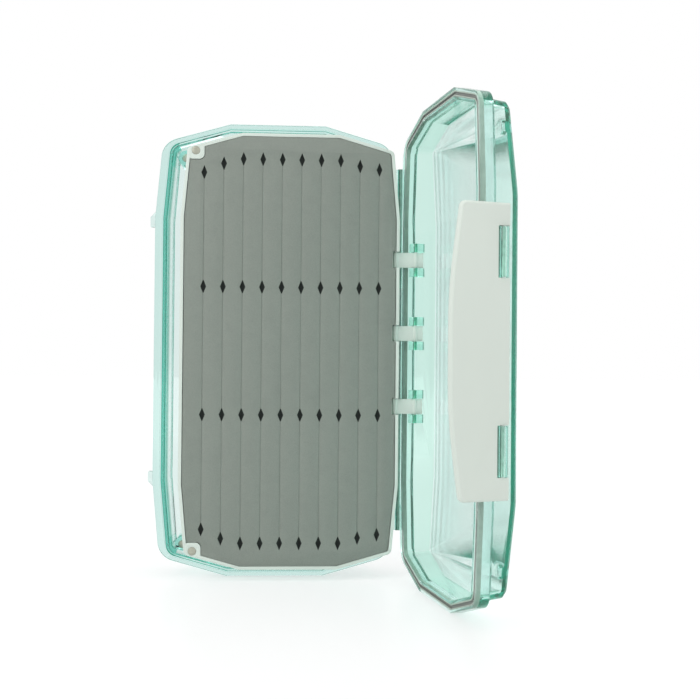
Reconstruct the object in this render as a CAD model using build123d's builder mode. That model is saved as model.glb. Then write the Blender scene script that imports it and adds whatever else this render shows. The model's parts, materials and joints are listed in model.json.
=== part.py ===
"""Waterproof fly box: two faceted clear shells, a swing leaf on three links, and a long side latch.

Frame: +Z up along the box, which stands on its lower end at z = 0. The origin is the middle of the
base's end flat. The base opens towards -Y. The hinge is on the +X side with its axis vertical, and
the lid is modelled swung open.
"""
import os
from math import cos, radians, sin, tan

from build123d import *

# ---------------------------------------------------------------- outline of the two shells
BOX_LENGTH = 190.0
BOX_WIDTH = 102.4
END_FLAT = 40.0            # straight stretch in the middle of each end
END_SLOPE = 16.0           # the ends fall away from it by this angle
SIDE_TAPER = 5.2           # the long sides lean in by this angle towards the ends
TAPER_LENGTH = 40.0        # over this last stretch
CORNER_RADIUS = 8.5
CORNER_LEAST = 1.5         # the hollows keep at least this radius

# ---------------------------------------------------------------- shells
BASE_DEPTH = 25.0
LID_DEPTH = 15.2
FLANGE_HEIGHT = 5.0
FLANGE_REACH_SIDE = 3.2    # the flange stands out past the body by this much
FLANGE_REACH_END = 1.8
SHELL_WALL = 1.9
SHELL_FLOOR = 2.1
BASE_DRAFT = 3.0
LID_DRAFT = 7.0
FACET_LENGTH = 42.5        # the outer faces slope over this last stretch at each end
FACET_SLOPE = 4.4
EDGE_BEVEL = 1.2
RIM_GAP = 0.4              # between the closed rims
RIM_EXTRA = 0.6            # the lid's rim is wider than the base's by this, to hold the seal

# ---------------------------------------------------------------- seal
SEAL_INSET_SIDE = 2.1
SEAL_INSET_END = 1.0
SEAL_WIDTH = 2.3
SEAL_SEAT = 1.9            # depth of the groove in the lid's rim
SEAL_PROUD_GAP = 0.25      # the seal stays this far below the rim
SEAL_FIT = 0.05
CHANNEL_WIDTH = 1.1
CHANNEL_DEPTH = 0.8
TONGUE_WIDTH = 0.6
TONGUE_CLEARANCE = 0.2

# ---------------------------------------------------------------- main hinge
LID_OPEN = 99.0            # how far the lid stands open in this pose
HINGE_OFFSET = 0.84        # axis to the flange's side
BARREL_RADIUS = 2.0
HINGE_PIN_RADIUS = 0.8
PIN_CLEARANCE = 0.06
HINGE_END_TOP = 18.0       # from the top of the hinge to the end of the box
HINGE_END_BOTTOM = 19.0
KNUCKLES = 3               # they alternate, lid first
KNUCKLE_GAP = 0.4
HINGE_BORE_OVERRUN = 1.0   # the pin's bore runs past the knuckles
BARREL_CLEARANCE = 0.35

# ---------------------------------------------------------------- swing leaf
LEAF_GAP_SIDE = 0.9        # to the base's wall
LEAF_GAP_END = 1.5
LEAF_DROP = 0.55           # it hangs this far below the middle of the box
LEAF_THICKNESS = 6.0
LEAF_RIM = 1.3
FOAM_THICKNESS = 1.9
FOAM_GAP = 0.1
SLITS = 10
SLIT_MARGIN = 9.1          # from the leaf's edge to the outer slits
SLIT_SHIFT = 0.4           # the slits sit this far towards the hinge
SLIT_WIDTH = 0.3
DIAMOND_WIDTH = 2.3
DIAMOND_LENGTH = 5.6
ROW_INNER = 26.3           # diamonds nearest the middle
ROW_MARGIN = 16.0          # from the outer diamonds to the end of the box
ROW_STEPS = {0: 5.8, 1: 2.0, 8: 2.2, 9: 3.5}   # end diamonds that step in with the outline

# ---------------------------------------------------------------- links that carry the leaf
LINK_POSITIONS = {"upper": 37.9, "middle": 7.3, "lower": -23.1}
LINK_LENGTH = 8.3
LINK_WIDTH = 6.2
LINK_THICKNESS = 1.5
LINK_TAIL = 3.1            # it runs on past the lid pivot
LINK_EYE_LID = 1.15
LINK_EYE_LEAF = 1.1
LINK_PIN_LID = 0.6
LINK_PIN_LEAF = 0.5
LINK_PLAY = 0.25
LINK_CLOSED = -95.1        # direction from leaf pivot to lid pivot with the box shut
LINK_TURN = 0.946          # turn of a link for each degree of lid travel
PIVOT_INSET = 7.85         # lid pivot, from the flange's side
PIVOT_DEPTH = 4.3
LEAF_PIVOT_INSET = 1.2     # leaf pivot, from the leaf's edge
LEAF_PIVOT_SINK = 0.3      # and behind the leaf's middle plane
EAR_WIDTH = 3.5
EAR_RADIUS = 2.3
EAR_TAIL = 1.4             # the ears reach this much deeper than their round tip
EAR_BITE = 0.5
PIN_SEAT = 0.03            # a pin in the piece that holds it
LEAF_PIN_GRIP = 3.0        # past the outer links
NOTCH_CLEARANCE = 0.25

# ---------------------------------------------------------------- magnets
MAGNET_RADIUS = 1.7
MAGNET_THICKNESS = 1.6
MAGNET_FIT = 0.05
MAGNET_EDGE = 6.0          # leaf magnet, from the leaf's latch-side edge line
MAGNET_END = 12.8          # and from the end of the box
TAB_SIZE = 7.0
TAB_CORNER = 2.2
POST_RADIUS = 3.2
POST_GAP = 0.5             # below the closed leaf

# ---------------------------------------------------------------- latch
LATCH_LENGTH = 99.6
LATCH_DROP = 1.0           # its middle sits this far below the middle of the box
LATCH_MIDDLE = 42.0        # straight stretch of its free edge
LATCH_THICKNESS = 2.0
LATCH_GAP = 0.5            # to the flanges' sides
LATCH_PIVOT_DEPTH = 7.3
LATCH_REACH_ENDS = 8.9     # past the lid's rim, at the ends
LATCH_REACH_MIDDLE = 12.8
LATCH_CORNER = 2.2
LATCH_BEND = 180.0         # the free edge bends by this radius
LATCH_BEVEL = 0.8
LATCH_BARREL = 2.2
LATCH_LUG_RADIUS = 1.9
LATCH_PIN_RADIUS = 0.75
LATCH_PIN_GRIP = 5.0       # each side of a lug
LATCH_REST = 9.0           # it stands this far off the shut position
HOOK_END = 8.8             # the hook stops short of the latch's ends
HOOK_DEPTH = 1.5
HOOK_HEIGHT = 1.8
HOOK_GAP = 0.4
LUG_END = 16.5             # from the middle of a lug to the latch's end
LUG_LENGTH = 16.8
LUG_PLAY = 0.3
LUG_GAP = 0.5

# ---------------------------------------------------------------- catch guards on the base
GUARD_LENGTH = 6.2
GUARD_GAP = 1.4            # to the end of a latch that sat in the middle
GUARD_REACH = 2.0
GUARD_RAMP = 2.1           # its far end falls away over this length
GUARD_ROUND = 0.5
GUARD_TOP = 0.6            # below the rim
GUARD_HEIGHT = 3.4
GUARD_BITE = 1.0           # it reaches this far into the flange

# ---------------------------------------------------------------- bosses inside the lid
BOSS_INSET = 10.5          # from the latch-side flange
BOSS_END = 18.6            # from the end of the box
BOSS_RADIUS = 2.4
BOSS_HEIGHT = 1.6

MID_Z = BOX_LENGTH / 2
HALF_WIDTH = BOX_WIDTH / 2
TAPER_START = MID_Z - TAPER_LENGTH
FACET_START = MID_Z - FACET_LENGTH
HINGE_TOP = MID_Z - HINGE_END_TOP
HINGE_BOTTOM = HINGE_END_BOTTOM - MID_Z
ROW_OUTER = MID_Z - ROW_MARGIN
MAGNET_POSITION = MID_Z - MAGNET_END
BOSS_POSITION = MID_Z - BOSS_END
LUG_POSITION = LATCH_LENGTH / 2 - LUG_END
GUARD_NEAR = LATCH_LENGTH / 2 + GUARD_GAP
GUARD_FAR = GUARD_NEAR + GUARD_LENGTH
HINGE_X = HALF_WIDTH + HINGE_OFFSET
RIM_Y = -FLANGE_HEIGHT / 2
HINGE_Y = RIM_Y - RIM_GAP / 2


def turned(x, y, angle):
    """A point of the shut box, in plan, after the lid's swing about the hinge."""
    c, s = cos(radians(angle)), sin(radians(angle))
    dx, dy = x - HINGE_X, y - HINGE_Y
    return HINGE_X + c * dx - s * dy, HINGE_Y + s * dx + c * dy


# Rim planes: local x across the box, local y along it, local z out of the cavity.
base_rim = Plane(origin=(0, RIM_Y, MID_Z), x_dir=(1, 0, 0), z_dir=(0, -1, 0))
lid_x, lid_y = turned(0, RIM_Y - RIM_GAP, LID_OPEN)
open_angle = radians(LID_OPEN)
lid_rim = Plane(
    origin=(lid_x, lid_y, MID_Z),
    x_dir=(-cos(open_angle), -sin(open_angle), 0),
    z_dir=(-sin(open_angle), cos(open_angle), 0),
)


def side_plane(rim):
    """Plane of a shell's long profile: local x along the box, local y out of the cavity."""
    return Plane(origin=rim.origin, x_dir=rim.y_dir, z_dir=rim.x_dir)


def plan_plane(rim, height):
    """Level plane through a shell: local x across the box, local -y out of the cavity."""
    origin = rim.origin + rim.y_dir * height
    return Plane(origin=origin, x_dir=rim.x_dir, z_dir=rim.y_dir)


def box_outline(side_inset=0.0, end_inset=0.0):
    """The twelve-sided outline with its four rounded corners, moved in from the flange."""
    half_width = HALF_WIDTH - side_inset
    half_length = BOX_LENGTH / 2 - end_inset
    flat = END_FLAT / 2
    slope = tan(radians(END_SLOPE))
    taper = tan(radians(SIDE_TAPER))
    corner_x = half_width - taper * (half_length + slope * flat - TAPER_START)
    corner_x /= 1 - taper * slope
    corner_y = half_length - slope * (corner_x - flat)
    radius = max(CORNER_RADIUS - side_inset, CORNER_LEAST)
    quarter = [
        (flat, half_length, 0.0),
        (corner_x, corner_y, radius),
        (half_width, TAPER_START, 0.0),
    ]
    right = quarter + [(x, -y, r) for x, y, r in reversed(quarter)]
    ring = right + [(-x, y, r) for x, y, r in reversed(right)]
    with BuildSketch() as outline:
        with BuildLine():
            FilletPolyline(*[(x, y) for x, y, _ in ring], radius=[r for _, _, r in ring], close=True)
        make_face()
    return outline.sketch


def faceted_profile(depth):
    """Long profile of a shell's outer face: flat in the middle, sloping to the ends."""
    end = BOX_LENGTH / 2
    with BuildSketch() as profile:
        Polygon(
            (-end, depth), (end, depth), (end, -floor_depth(depth, end)), (FACET_START, -depth),
            (-FACET_START, -depth), (-end, -floor_depth(depth, end)), align=None,
        )
    return profile.sketch


def floor_depth(depth, position):
    """Depth of a faceted floor at a place along the box."""
    return depth - max(abs(position) - FACET_START, 0.0) * tan(radians(FACET_SLOPE))


def shell_form(rim, depth, side_inset, end_inset, draft, edge_bevel):
    """A tapering solid with the faceted outer face, for a shell's body or its hollow."""
    with BuildPart() as form:
        with BuildSketch(rim):
            add(box_outline(side_inset, end_inset))
        extrude(amount=-depth, taper=draft)
        with BuildSketch(side_plane(rim)):
            add(faceted_profile(depth))
        extrude(amount=BOX_WIDTH, both=True, mode=Mode.INTERSECT)
        if edge_bevel > 0:
            # every edge around the outer faces, without the two creases between them
            outer_faces = form.faces().sort_by(Axis(rim.origin, rim.z_dir * -1))[-3:]
            around = ShapeList(edge for face in outer_faces for edge in face.edges())
            creases = ShapeList(edge for edge in around if around.count(edge) > 1)
            chamfer(ShapeList(edge for edge in around if edge not in creases), edge_bevel)
    return form.part


def knuckle_spans(first):
    """Lower and upper ends of every second knuckle, counted from the top of the hinge."""
    pitch = (HINGE_TOP - HINGE_BOTTOM) / KNUCKLES
    spans = []
    for index in range(first, KNUCKLES, 2):
        upper = HINGE_TOP - index * pitch
        spans.append((upper - pitch + KNUCKLE_GAP, upper))
    return spans


def hinge_cylinders(spans, radius, overrun=0.0):
    """Cylinders about the hinge axis over the given spans."""
    with BuildPart() as cylinders:
        for low, high in spans:
            with BuildSketch(Plane.XY.offset(MID_Z + low - overrun)):
                with Locations((HINGE_X, HINGE_Y)):
                    Circle(radius)
            extrude(amount=high - low + 2 * overrun)
    return cylinders.part


LID_SPANS = knuckle_spans(0)
BASE_SPANS = knuckle_spans(1)
BASE_INSET_SIDE = FLANGE_REACH_SIDE + SHELL_WALL
BASE_INSET_END = FLANGE_REACH_END + SHELL_WALL
LEAF_INSET_SIDE = BASE_INSET_SIDE + LEAF_GAP_SIDE
LEAF_INSET_END = BASE_INSET_END + LEAF_GAP_END
LEAF_HALF_WIDTH = HALF_WIDTH - LEAF_INSET_SIDE
SLIT_PITCH = 2 * (LEAF_HALF_WIDTH - SLIT_MARGIN) / (SLITS - 1)
LID_INSET_SIDE = BASE_INSET_SIDE + RIM_EXTRA
LID_INSET_END = BASE_INSET_END + RIM_EXTRA
LINK_SLOT = LINK_WIDTH / 2 + LINK_PLAY
LEAF_PIN_TOP = max(LINK_POSITIONS.values()) + LINK_SLOT + LEAF_PIN_GRIP
LEAF_PIN_BOTTOM = min(LINK_POSITIONS.values()) - LINK_SLOT - LEAF_PIN_GRIP
NOTCH_DEPTH = LEAF_PIVOT_INSET + LINK_EYE_LEAF + NOTCH_CLEARANCE

# ---------------------------------------------------------------- linkage in plan
lid_pivot_closed = (HALF_WIDTH - PIVOT_INSET, RIM_Y - RIM_GAP - PIVOT_DEPTH)
lid_pivot = turned(*lid_pivot_closed, LID_OPEN)
link_angle = LINK_CLOSED + LINK_TURN * LID_OPEN
leaf_pivot_closed = (
    lid_pivot_closed[0] - LINK_LENGTH * cos(radians(LINK_CLOSED)),
    lid_pivot_closed[1] - LINK_LENGTH * sin(radians(LINK_CLOSED)),
)
leaf_pivot = (
    lid_pivot[0] - LINK_LENGTH * cos(radians(link_angle)),
    lid_pivot[1] - LINK_LENGTH * sin(radians(link_angle)),
)
leaf_x = leaf_pivot[0] + LEAF_PIVOT_INSET - LEAF_HALF_WIDTH
leaf_x_closed = leaf_pivot_closed[0] + LEAF_PIVOT_INSET - LEAF_HALF_WIDTH
leaf_mid = Plane(
    origin=(leaf_x, leaf_pivot[1] - LEAF_PIVOT_SINK, MID_Z - LEAF_DROP), x_dir=(1, 0, 0), z_dir=(0, -1, 0))
magnet_x = -LEAF_HALF_WIDTH + MAGNET_EDGE
magnet_spots = [(magnet_x, MAGNET_POSITION), (magnet_x, -MAGNET_POSITION)]
post_spots = [(leaf_x_closed + x, y - LEAF_DROP) for x, y in magnet_spots]
post_top = leaf_pivot_closed[1] - LEAF_PIVOT_SINK - RIM_Y + LEAF_THICKNESS / 2 + POST_GAP

# ---------------------------------------------------------------- latch in plan
# Latch plane: origin on its pivot, local x from the pivot past the rim, local z towards the box.
latch_offset = HALF_WIDTH + LATCH_GAP + LATCH_THICKNESS / 2
latch_height = Vector(0, 0, -LATCH_DROP)
latch_origin = (
    lid_rim.origin + lid_rim.x_dir * latch_offset - lid_rim.z_dir * LATCH_PIVOT_DEPTH + latch_height
)
latch_plane = Plane(
    origin=latch_origin,
    x_dir=lid_rim.z_dir.rotate(Axis.Z, LATCH_REST),
    z_dir=(lid_rim.x_dir * -1).rotate(Axis.Z, LATCH_REST),
)


def band(side_inset, end_inset, width):
    """Ring of the given width that follows the outline."""
    with BuildSketch() as ring:
        add(box_outline(side_inset, end_inset))
        add(box_outline(side_inset + width, end_inset + width), mode=Mode.SUBTRACT)
    return ring.sketch


def pin(x, y, low, high, radius, name):
    """An upright pin between two heights above the middle of the box."""
    with BuildPart() as shaft:
        with BuildSketch(Plane.XY.offset(MID_Z + low)):
            with Locations((x, y)):
                Circle(radius)
        extrude(amount=high - low)
    finish(shaft, name)


def disc(plane, spot, depth, name):
    """A disc magnet whose face lies the given depth below a plane."""
    with BuildPart() as magnet:
        with BuildSketch(plane.offset(-depth)):
            with Locations(spot):
                Circle(MAGNET_RADIUS)
        extrude(amount=-MAGNET_THICKNESS)
    finish(magnet, name)


def finish(builder, name):
    """Label a finished piece and write it out."""
    builder.part.label = name
    export_step(builder.part, f"parts/{name}.step")


os.makedirs("parts", exist_ok=True)

# ================================================================ base shell
base_body = shell_form(base_rim, BASE_DEPTH, FLANGE_REACH_SIDE, FLANGE_REACH_END, BASE_DRAFT, EDGE_BEVEL)
base_hollow = shell_form(
    base_rim, BASE_DEPTH - SHELL_FLOOR, BASE_INSET_SIDE, BASE_INSET_END, BASE_DRAFT, 0.0)
tongue_shift = (SEAL_WIDTH - TONGUE_WIDTH) / 2
tongue_height = RIM_GAP + SEAL_PROUD_GAP + CHANNEL_DEPTH - TONGUE_CLEARANCE
post_floor = floor_depth(BASE_DEPTH, MAGNET_POSITION) - SHELL_FLOOR / 2
guard_root = -HALF_WIDTH + GUARD_BITE
guard_face = -HALF_WIDTH - GUARD_REACH
with BuildPart() as base_shell:
    with BuildSketch(base_rim):
        add(box_outline())
    extrude(amount=-FLANGE_HEIGHT)
    add(base_body)
    # raised tongue that presses into the seal
    with BuildSketch(base_rim):
        add(band(SEAL_INSET_SIDE + tongue_shift, SEAL_INSET_END + tongue_shift, TONGUE_WIDTH))
    extrude(amount=tongue_height)
    add(base_hollow, mode=Mode.SUBTRACT)
    # guards at both ends of the latch, square towards it and ramped away from it
    for side in (1, -1):
        with BuildSketch(base_rim.offset(-GUARD_TOP)):
            with BuildLine():
                FilletPolyline(
                    (guard_root, side * GUARD_NEAR), (guard_face, side * GUARD_NEAR),
                    (guard_face, side * (GUARD_FAR - GUARD_RAMP)), (-HALF_WIDTH, side * GUARD_FAR),
                    (guard_root, side * GUARD_FAR),
                    radius=[0.0, GUARD_ROUND, GUARD_ROUND, 0.0, 0.0], close=True,
                )
            make_face()
        extrude(amount=GUARD_TOP - GUARD_HEIGHT)
    # posts under the leaf's magnets
    with BuildSketch(base_rim.offset(-post_top)):
        with Locations(*post_spots):
            Circle(POST_RADIUS)
    extrude(amount=-(post_floor - post_top))
    with BuildSketch(base_rim.offset(-post_top)):
        with Locations(*post_spots):
            Circle(MAGNET_RADIUS + MAGNET_FIT)
    extrude(amount=-(MAGNET_THICKNESS + MAGNET_FIT), mode=Mode.SUBTRACT)
    # knuckles, with room for the lid's knuckles between them
    add(hinge_cylinders(LID_SPANS, BARREL_RADIUS + BARREL_CLEARANCE, KNUCKLE_GAP), mode=Mode.SUBTRACT)
    add(hinge_cylinders(BASE_SPANS, BARREL_RADIUS))
    add(hinge_cylinders([(HINGE_BOTTOM, HINGE_TOP)], HINGE_PIN_RADIUS + PIN_SEAT, HINGE_BORE_OVERRUN),
        mode=Mode.SUBTRACT)
finish(base_shell, "base_shell")

# ================================================================ lid shell
lid_body = shell_form(lid_rim, LID_DEPTH, FLANGE_REACH_SIDE, FLANGE_REACH_END, LID_DRAFT, EDGE_BEVEL)
lid_hollow = shell_form(lid_rim, LID_DEPTH - SHELL_FLOOR, LID_INSET_SIDE, LID_INSET_END, LID_DRAFT, 0.0)
with BuildPart() as lid_shell:
    with BuildSketch(lid_rim):
        add(box_outline())
    extrude(amount=-FLANGE_HEIGHT)
    add(lid_body)
    add(lid_hollow, mode=Mode.SUBTRACT)
    # groove for the seal
    with BuildSketch(lid_rim):
        add(band(SEAL_INSET_SIDE, SEAL_INSET_END, SEAL_WIDTH))
    extrude(amount=-SEAL_SEAT, mode=Mode.SUBTRACT)
    # ears for the three links
    ear_start = -HALF_WIDTH + LID_INSET_SIDE - EAR_BITE
    ear_x = -HALF_WIDTH + PIVOT_INSET
    for height in LINK_POSITIONS.values():
        for side in (1, -1):
            near = height + side * LINK_SLOT
            with BuildSketch(plan_plane(lid_rim, near)):
                with Locations(((ear_start + ear_x) / 2, PIVOT_DEPTH + EAR_TAIL / 2)):
                    Rectangle(ear_x - ear_start, 2 * EAR_RADIUS + EAR_TAIL)
                with Locations((ear_x, PIVOT_DEPTH + EAR_TAIL / 2)):
                    SlotCenterToCenter(EAR_TAIL, 2 * EAR_RADIUS, rotation=90)
            extrude(amount=side * EAR_WIDTH)
        with BuildSketch(plan_plane(lid_rim, height)):
            with Locations((ear_x, PIVOT_DEPTH)):
                Circle(LINK_PIN_LID + PIN_SEAT)
        extrude(amount=LINK_SLOT + EAR_WIDTH, both=True, mode=Mode.SUBTRACT)
    # bosses near the latch-side corners
    boss_floor = floor_depth(LID_DEPTH, BOSS_POSITION) - SHELL_FLOOR / 2
    with BuildSketch(lid_rim.offset(-boss_floor)):
        with Locations((HALF_WIDTH - BOSS_INSET, BOSS_POSITION), (HALF_WIDTH - BOSS_INSET, -BOSS_POSITION)):
            Circle(BOSS_RADIUS)
    extrude(amount=BOSS_HEIGHT + SHELL_FLOOR / 2)
    # lugs that carry the latch
    lug_start = HALF_WIDTH - FLANGE_REACH_SIDE - SHELL_WALL
    for side in (1, -1):
        with BuildSketch(plan_plane(lid_rim, side * LUG_POSITION - LATCH_DROP)):
            with Locations(((lug_start + latch_offset) / 2, LATCH_PIVOT_DEPTH)):
                Rectangle(latch_offset - lug_start, 2 * LATCH_LUG_RADIUS)
            with Locations((latch_offset, LATCH_PIVOT_DEPTH)):
                Circle(LATCH_LUG_RADIUS)
                Circle(LATCH_PIN_RADIUS + PIN_SEAT, mode=Mode.SUBTRACT)
        extrude(amount=LUG_LENGTH / 2, both=True)
    # knuckles, with room for the base's knuckles between them
    add(hinge_cylinders(BASE_SPANS, BARREL_RADIUS + BARREL_CLEARANCE, KNUCKLE_GAP), mode=Mode.SUBTRACT)
    add(hinge_cylinders(LID_SPANS, BARREL_RADIUS))
    add(hinge_cylinders([(HINGE_BOTTOM, HINGE_TOP)], HINGE_PIN_RADIUS + PIN_CLEARANCE, HINGE_BORE_OVERRUN),
        mode=Mode.SUBTRACT)
finish(lid_shell, "lid_shell")

# ================================================================ seal
with BuildPart() as gasket:
    with BuildSketch(lid_rim.offset(-SEAL_SEAT)):
        add(band(SEAL_INSET_SIDE + SEAL_FIT, SEAL_INSET_END + SEAL_FIT, SEAL_WIDTH - 2 * SEAL_FIT))
    extrude(amount=SEAL_SEAT - SEAL_PROUD_GAP)
    channel_shift = (SEAL_WIDTH - CHANNEL_WIDTH) / 2
    with BuildSketch(lid_rim.offset(-SEAL_PROUD_GAP)):
        add(band(SEAL_INSET_SIDE + channel_shift, SEAL_INSET_END + channel_shift, CHANNEL_WIDTH))
    extrude(amount=-CHANNEL_DEPTH, mode=Mode.SUBTRACT)
finish(gasket, "gasket")

# ================================================================ hinge pin
pin(HINGE_X, HINGE_Y, HINGE_BOTTOM + KNUCKLE_GAP, HINGE_TOP, HINGE_PIN_RADIUS, "hinge_pin")

# ================================================================ leaf
leaf_front = leaf_mid.offset(LEAF_THICKNESS / 2)
leaf_back = leaf_mid.offset(-LEAF_THICKNESS / 2)
notch_spots = [(LEAF_HALF_WIDTH, height + LEAF_DROP) for height in LINK_POSITIONS.values()]
with BuildPart() as leaf_frame:
    with BuildSketch(leaf_mid):
        add(box_outline(LEAF_INSET_SIDE, LEAF_INSET_END))
    extrude(amount=LEAF_THICKNESS / 2, both=True)
    # a tray for foam in each face, with tabs for the magnets in the front one
    with BuildSketch(leaf_front):
        add(box_outline(LEAF_INSET_SIDE + LEAF_RIM, LEAF_INSET_END + LEAF_RIM))
        with Locations(*magnet_spots):
            RectangleRounded(TAB_SIZE, TAB_SIZE, TAB_CORNER, mode=Mode.SUBTRACT)
    extrude(amount=-FOAM_THICKNESS, mode=Mode.SUBTRACT)
    with BuildSketch(leaf_back):
        add(box_outline(LEAF_INSET_SIDE + LEAF_RIM, LEAF_INSET_END + LEAF_RIM))
    extrude(amount=FOAM_THICKNESS, mode=Mode.SUBTRACT)
    with BuildSketch(leaf_front):
        with Locations(*magnet_spots):
            Circle(MAGNET_RADIUS + MAGNET_FIT)
    extrude(amount=-(MAGNET_THICKNESS + MAGNET_FIT), mode=Mode.SUBTRACT)
    # notches for the links' eyes, and the bore for the long pin through them
    with BuildSketch(leaf_mid):
        with Locations(*notch_spots):
            Rectangle(2 * NOTCH_DEPTH, 2 * LINK_SLOT)
    extrude(amount=LEAF_THICKNESS, both=True, mode=Mode.SUBTRACT)
    with BuildSketch(Plane.XY.offset(MID_Z + LEAF_PIN_BOTTOM)):
        with Locations(leaf_pivot):
            Circle(LINK_PIN_LEAF + PIN_SEAT)
    extrude(amount=LEAF_PIN_TOP - LEAF_PIN_BOTTOM, mode=Mode.SUBTRACT)
finish(leaf_frame, "leaf_frame")


with BuildSketch() as diamond:
    Polygon(
        (0, DIAMOND_LENGTH / 2), (DIAMOND_WIDTH / 2, 0),
        (0, -DIAMOND_LENGTH / 2), (-DIAMOND_WIDTH / 2, 0), align=None)


def leaf_foam(face, inward, tabs, rows, name):
    """A foam sheet in its tray, cut round the tabs, with long slits widened at the given rows."""
    foam_inset = LEAF_RIM + FOAM_GAP
    tab_cut = TAB_SIZE + 2 * FOAM_GAP
    with BuildPart() as foam:
        with BuildSketch(face):
            add(box_outline(LEAF_INSET_SIDE + foam_inset, LEAF_INSET_END + foam_inset))
            for spot in tabs:
                with Locations(spot):
                    RectangleRounded(
                        tab_cut, tab_cut, TAB_CORNER + FOAM_GAP, mode=Mode.SUBTRACT)
            with Locations(*notch_spots):
                Rectangle(2 * (NOTCH_DEPTH + FOAM_GAP), 2 * (LINK_SLOT + FOAM_GAP), mode=Mode.SUBTRACT)
            for column in range(SLITS):
                x = SLIT_SHIFT + (column - (SLITS - 1) / 2) * SLIT_PITCH
                outer = ROW_OUTER - ROW_STEPS.get(column, 0.0)
                with Locations((x, 0)):
                    Rectangle(SLIT_WIDTH, 2 * outer, mode=Mode.SUBTRACT)
                for row in rows:
                    with Locations((x, max(min(row, outer), -outer))):
                        add(diamond.sketch, mode=Mode.SUBTRACT)
        extrude(amount=inward * FOAM_THICKNESS)
    finish(foam, name)


front_rows = (ROW_OUTER, ROW_INNER, -ROW_INNER, -ROW_OUTER)
leaf_foam(leaf_front, -1, magnet_spots, front_rows, "leaf_foam_front")
leaf_foam(leaf_back, 1, (), (), "leaf_foam_back")

# ================================================================ links and their pins
for place, height in LINK_POSITIONS.items():
    link_plane = Plane(
        origin=(*leaf_pivot, MID_Z + height),
        x_dir=(cos(radians(link_angle)), sin(radians(link_angle)), 0),
        z_dir=(0, 0, 1),
    )
    with BuildPart() as link:
        with BuildSketch(link_plane):
            with Locations(((LINK_LENGTH + LINK_TAIL) / 2, 0)):
                Rectangle(LINK_LENGTH + LINK_TAIL, LINK_THICKNESS)
            Circle(LINK_EYE_LEAF)
            with Locations((LINK_LENGTH, 0)):
                Circle(LINK_EYE_LID)
                Circle(LINK_PIN_LID + PIN_CLEARANCE, mode=Mode.SUBTRACT)
            Circle(LINK_PIN_LEAF + PIN_CLEARANCE, mode=Mode.SUBTRACT)
        extrude(amount=LINK_WIDTH / 2, both=True)
    finish(link, f"leaf_link_{place}")
    lid_grip = LINK_SLOT + EAR_WIDTH
    pin(*lid_pivot, height - lid_grip, height + lid_grip, LINK_PIN_LID, f"lid_link_pin_{place}")

pin(*leaf_pivot, LEAF_PIN_BOTTOM, LEAF_PIN_TOP, LINK_PIN_LEAF, "leaf_pin")

# ================================================================ magnets
for place, leaf_spot, post_spot in zip(("upper", "lower"), magnet_spots, post_spots):
    disc(leaf_front, leaf_spot, 0.0, f"leaf_magnet_{place}")
    disc(base_rim, post_spot, post_top, f"base_magnet_{place}")

# ================================================================ latch
latch_half = LATCH_LENGTH / 2
reach_ends = LATCH_PIVOT_DEPTH + LATCH_REACH_ENDS
reach_middle = LATCH_PIVOT_DEPTH + LATCH_REACH_MIDDLE
hook_start = LATCH_PIVOT_DEPTH + RIM_GAP + FLANGE_HEIGHT + HOOK_GAP
with BuildPart() as latch:
    with BuildSketch(latch_plane.offset(-LATCH_THICKNESS / 2)):
        with BuildLine():
            FilletPolyline(
                (0, latch_half), (reach_ends, latch_half), (reach_middle, LATCH_MIDDLE / 2),
                (reach_middle, -LATCH_MIDDLE / 2), (reach_ends, -latch_half), (0, -latch_half),
                radius=[0.0, LATCH_CORNER, LATCH_BEND, LATCH_BEND, LATCH_CORNER, 0.0], close=True,
            )
        make_face()
    extrude(amount=LATCH_THICKNESS)
    # barrel along the back edge, flush with the outer face
    barrel_plane = Plane(
        origin=latch_plane.origin, x_dir=latch_plane.x_dir, z_dir=latch_plane.y_dir)
    with BuildSketch(barrel_plane):
        Circle(LATCH_BARREL)
        with Locations((0, LATCH_THICKNESS / 2 + LATCH_BARREL)):
            Rectangle(4 * LATCH_BARREL, 2 * LATCH_BARREL, mode=Mode.SUBTRACT)
    extrude(amount=latch_half, both=True)
    # the outer face is bevelled all round but along the barrel
    outer_face = latch.faces().sort_by(Axis(latch_plane.origin, latch_plane.z_dir))[0]
    chamfer(outer_face.edges().sort_by(Axis(latch_plane.origin, latch_plane.x_dir))[1:], LATCH_BEVEL)
    # gaps for the lid's lugs, and the pin holes
    gap_middle = LATCH_LUG_RADIUS + LUG_GAP - 2 * LATCH_BARREL
    with BuildSketch(latch_plane):
        with Locations((gap_middle, LUG_POSITION), (gap_middle, -LUG_POSITION)):
            Rectangle(4 * LATCH_BARREL, LUG_LENGTH + 2 * LUG_PLAY)
    extrude(amount=2 * LATCH_BARREL, both=True, mode=Mode.SUBTRACT)
    for side in (1, -1):
        with BuildSketch(barrel_plane.offset(side * LUG_POSITION)):
            Circle(LATCH_PIN_RADIUS + PIN_CLEARANCE)
        extrude(amount=LUG_LENGTH / 2 + LATCH_PIN_GRIP, both=True, mode=Mode.SUBTRACT)
    # hook that goes behind the base's flange
    with BuildSketch(latch_plane.offset(LATCH_THICKNESS / 2)):
        with Locations((hook_start + HOOK_HEIGHT / 2, 0)):
            Rectangle(HOOK_HEIGHT, LATCH_LENGTH - 2 * HOOK_END)
    extrude(amount=LATCH_GAP + HOOK_DEPTH)
finish(latch, "latch")
pin_half = LUG_LENGTH / 2 + LATCH_PIN_GRIP - LUG_PLAY
for place, height in (("upper", LUG_POSITION - LATCH_DROP), ("lower", -LUG_POSITION - LATCH_DROP)):
    pin(latch_origin.X, latch_origin.Y, height - pin_half, height + pin_half, LATCH_PIN_RADIUS,
        f"latch_pin_{place}")
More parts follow.
